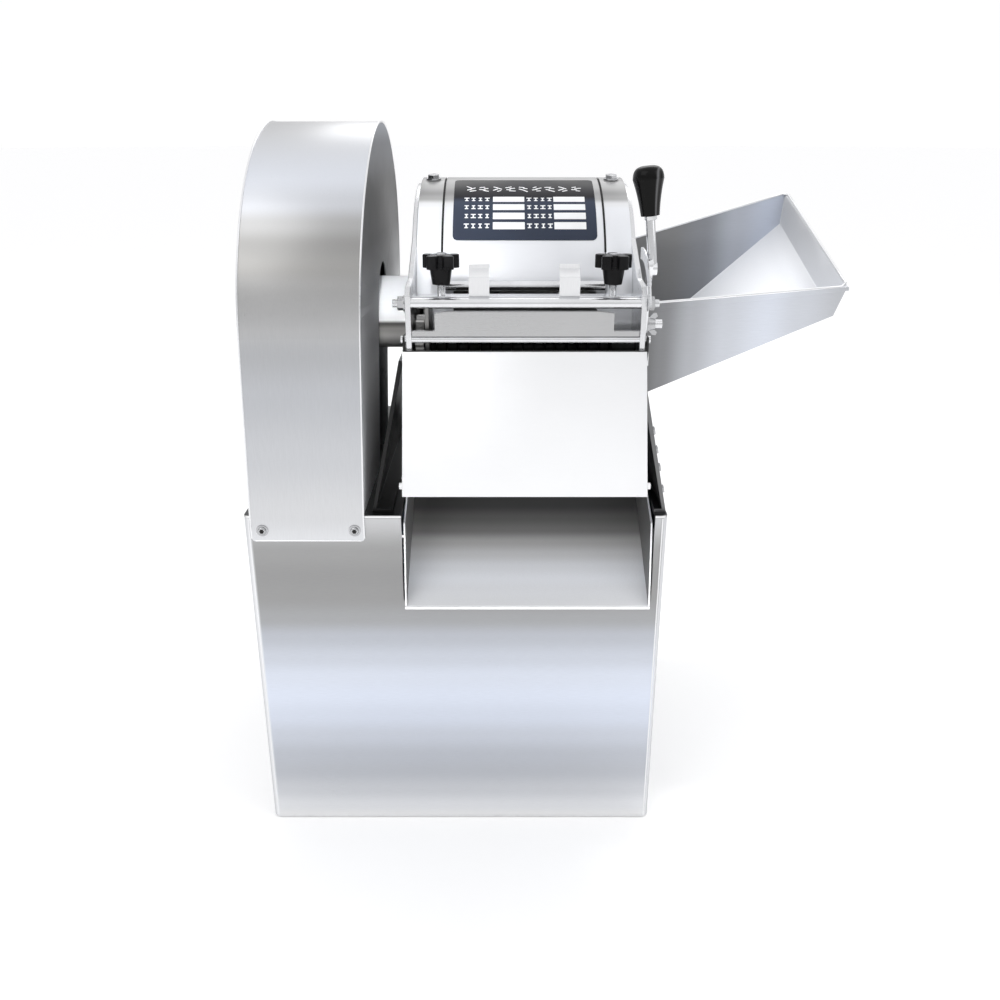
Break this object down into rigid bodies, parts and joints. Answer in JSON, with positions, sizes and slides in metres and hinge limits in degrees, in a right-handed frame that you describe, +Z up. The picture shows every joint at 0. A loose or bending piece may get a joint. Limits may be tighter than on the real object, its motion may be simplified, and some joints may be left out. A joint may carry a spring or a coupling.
{
  "type": "vegetable dicer",
  "caption": "Floor or bench vegetable dicer: steel cabinet, arched belt guard, horizontal drum with slice gate, cutter flap, front chute and side hopper.",
  "frame": {"origin": "middle of the machine's overall footprint, on the floor under its feet", "axes": "+Z up, +X to the hopper side, -Y to the discharge side where the operator stands"},
  "size_m": [0.715, 0.5644, 0.868],
  "materials": {
    "brushed_sheet": "brushed, fine vertical grain",
    "satin_dark": "satin, seen in shade",
    "polished_steel": "polished",
    "white_sheet": "bead blasted, pale",
    "machined_steel": "machined",
    "zinc_bolts": "zinc plated",
    "black_plastic": "moulded",
    "gloss_black": "polished phenolic",
    "plate_print": "printed film",
    "motor_paint": "hammer enamel",
    "frame_paint": "powder coat",
    "pulley_iron": "machined and oiled",
    "belt_rubber": "matt",
    "foot_rubber": "matt",
    "green_button": "moulded",
    "red_button": "moulded",
    "switch_face": "moulded"
  },
  "bodies": {
    "machine": {"cabinet_shell": "brushed_sheet", "deck_plate": "brushed_sheet", "rear_panel": "brushed_sheet", "base_frame": "frame_paint", "rubber_feet": "foot_rubber", "cable_gland": "black_plastic", "switch_plate": "switch_face", "motor_bracket": "frame_paint", "motor_housing": "motor_paint", "fan_cover": "motor_paint", "terminal_box": "motor_paint", "drive_belts": "belt_rubber", "shaft_housing": "polished_steel", "shaft_bearings": "machined_steel", "belt_guard": "brushed_sheet", "cover_screws": "zinc_bolts", "left_end_plate": "polished_steel", "gear_plate": "machined_steel", "right_end_plate": "polished_steel", "drum_casing": "polished_steel", "left_band": "polished_steel", "right_band": "polished_steel", "gate_hinge": "machined_steel", "tie_bars": "polished_steel", "clamp_bar": "polished_steel", "knife_block": "brushed_sheet", "slicing_knife": "machined_steel", "stripper_comb": "machined_steel", "idler_pin": "machined_steel", "plate_clips": "white_sheet", "lever_quadrant": "polished_steel", "pedestal_left": "satin_dark", "pedestal_right": "satin_dark", "pedestal_back": "satin_dark", "discharge_chute": "brushed_sheet", "feed_hopper": "brushed_sheet", "inlet_ring": "machined_steel", "hex_fasteners": "zinc_bolts"},
    "drive_rotor": {"main_shaft": "machined_steel", "main_pulley": "pulley_iron", "impeller": "machined_steel", "main_gear": "machined_steel"},
    "motor_rotor": {"motor_shaft": "machined_steel", "motor_pulley": "pulley_iron"},
    "idler": {"idler_gear": "machined_steel"},
    "disc_cutters": {"disc_cutter_shaft": "machined_steel", "disc_gear": "machined_steel"},
    "crosscut_knives": {"crosscut_roller": "machined_steel", "crosscut_gear": "machined_steel"},
    "gate": {"slice_gate": "polished_steel", "gate_lip_rod": "polished_steel", "name_plate": "plate_print"},
    "lever": {"lever_arm": "polished_steel", "lever_knob": "gloss_black"},
    "wing": {"wing_nut": "zinc_bolts"},
    "flap": {"cutter_flap": "white_sheet"},
    "left_knob": {"left_star_knob": "black_plastic"},
    "right_knob": {"right_star_knob": "black_plastic"},
    "start": {"start_button": "green_button"},
    "stop": {"stop_button": "red_button"}
  },
  "joints": [
    {"name": "main_shaft_spin", "type": "hinge", "parent": "machine", "child": "drive_rotor", "pos_m": [-0.1075, 0.01775, 0.636], "axis": [1, 0, 0], "continuous": true},
    {"name": "motor_spin", "type": "hinge", "parent": "machine", "child": "motor_rotor", "pos_m": [-0.1075, 0.09775, 0.185], "axis": [1, 0, 0], "continuous": true},
    {"name": "idler_spin", "type": "hinge", "parent": "machine", "child": "idler", "pos_m": [-0.1075, -0.11711, 0.59843], "axis": [1, 0, 0], "continuous": true},
    {"name": "disc_cutter_spin", "type": "hinge", "parent": "machine", "child": "disc_cutters", "pos_m": [-0.1075, -0.17625, 0.632], "axis": [1, 0, 0], "continuous": true},
    {"name": "crosscut_spin", "type": "hinge", "parent": "machine", "child": "crosscut_knives", "pos_m": [-0.1075, -0.19225, 0.57003], "axis": [1, 0, 0], "continuous": true},
    {"name": "gate_swing", "type": "hinge", "parent": "machine", "child": "gate", "pos_m": [-0.1075, 0.09584, 0.78925], "axis": [-1, 0, 0], "range_deg": [0, 5]},
    {"name": "lever_turn", "type": "hinge", "parent": "machine", "child": "lever", "pos_m": [0.1065, -0.16225, 0.655], "axis": [1, 0, 0], "range_deg": [0, 15]},
    {"name": "wing_nut_turn", "type": "hinge", "parent": "machine", "child": "wing", "pos_m": [0.1165, -0.16225, 0.655], "axis": [1, 0, 0], "range_deg": [0, 360]},
    {"name": "flap_hinge", "type": "hinge", "parent": "machine", "child": "flap", "pos_m": [-0.1075, -0.21325, 0.648], "axis": [-1, 0, 0], "range_deg": [0, 100]},
    {"name": "left_knob_turn", "type": "hinge", "parent": "machine", "child": "left_knob", "pos_m": [-0.1185, -0.19725, 0.7], "axis": [0, 0, 1], "range_deg": [0, 360]},
    {"name": "right_knob_turn", "type": "hinge", "parent": "machine", "child": "right_knob", "pos_m": [0.0665, -0.19725, 0.7], "axis": [0, 0, 1], "range_deg": [0, 360]},
    {"name": "start_press", "type": "slide", "parent": "machine", "child": "start", "axis": [0, -1, 0], "range_m": [0, 0.003], "stiffness_N_per_m": 300},
    {"name": "stop_press", "type": "slide", "parent": "machine", "child": "stop", "axis": [0, -1, 0], "range_m": [0, 0.003], "stiffness_N_per_m": 300}
  ],
  "couplings": [
    {"joint": "motor_spin", "follows": "main_shaft_spin", "ratio": 5.1389},
    {"joint": "idler_spin", "follows": "main_shaft_spin", "ratio": -2.8889},
    {"joint": "disc_cutter_spin", "follows": "main_shaft_spin", "ratio": 3.25},
    {"joint": "crosscut_spin", "follows": "main_shaft_spin", "ratio": -3.25},
    {"joint": "lever_turn", "follows": "gate_swing", "ratio": 3}
  ]
}
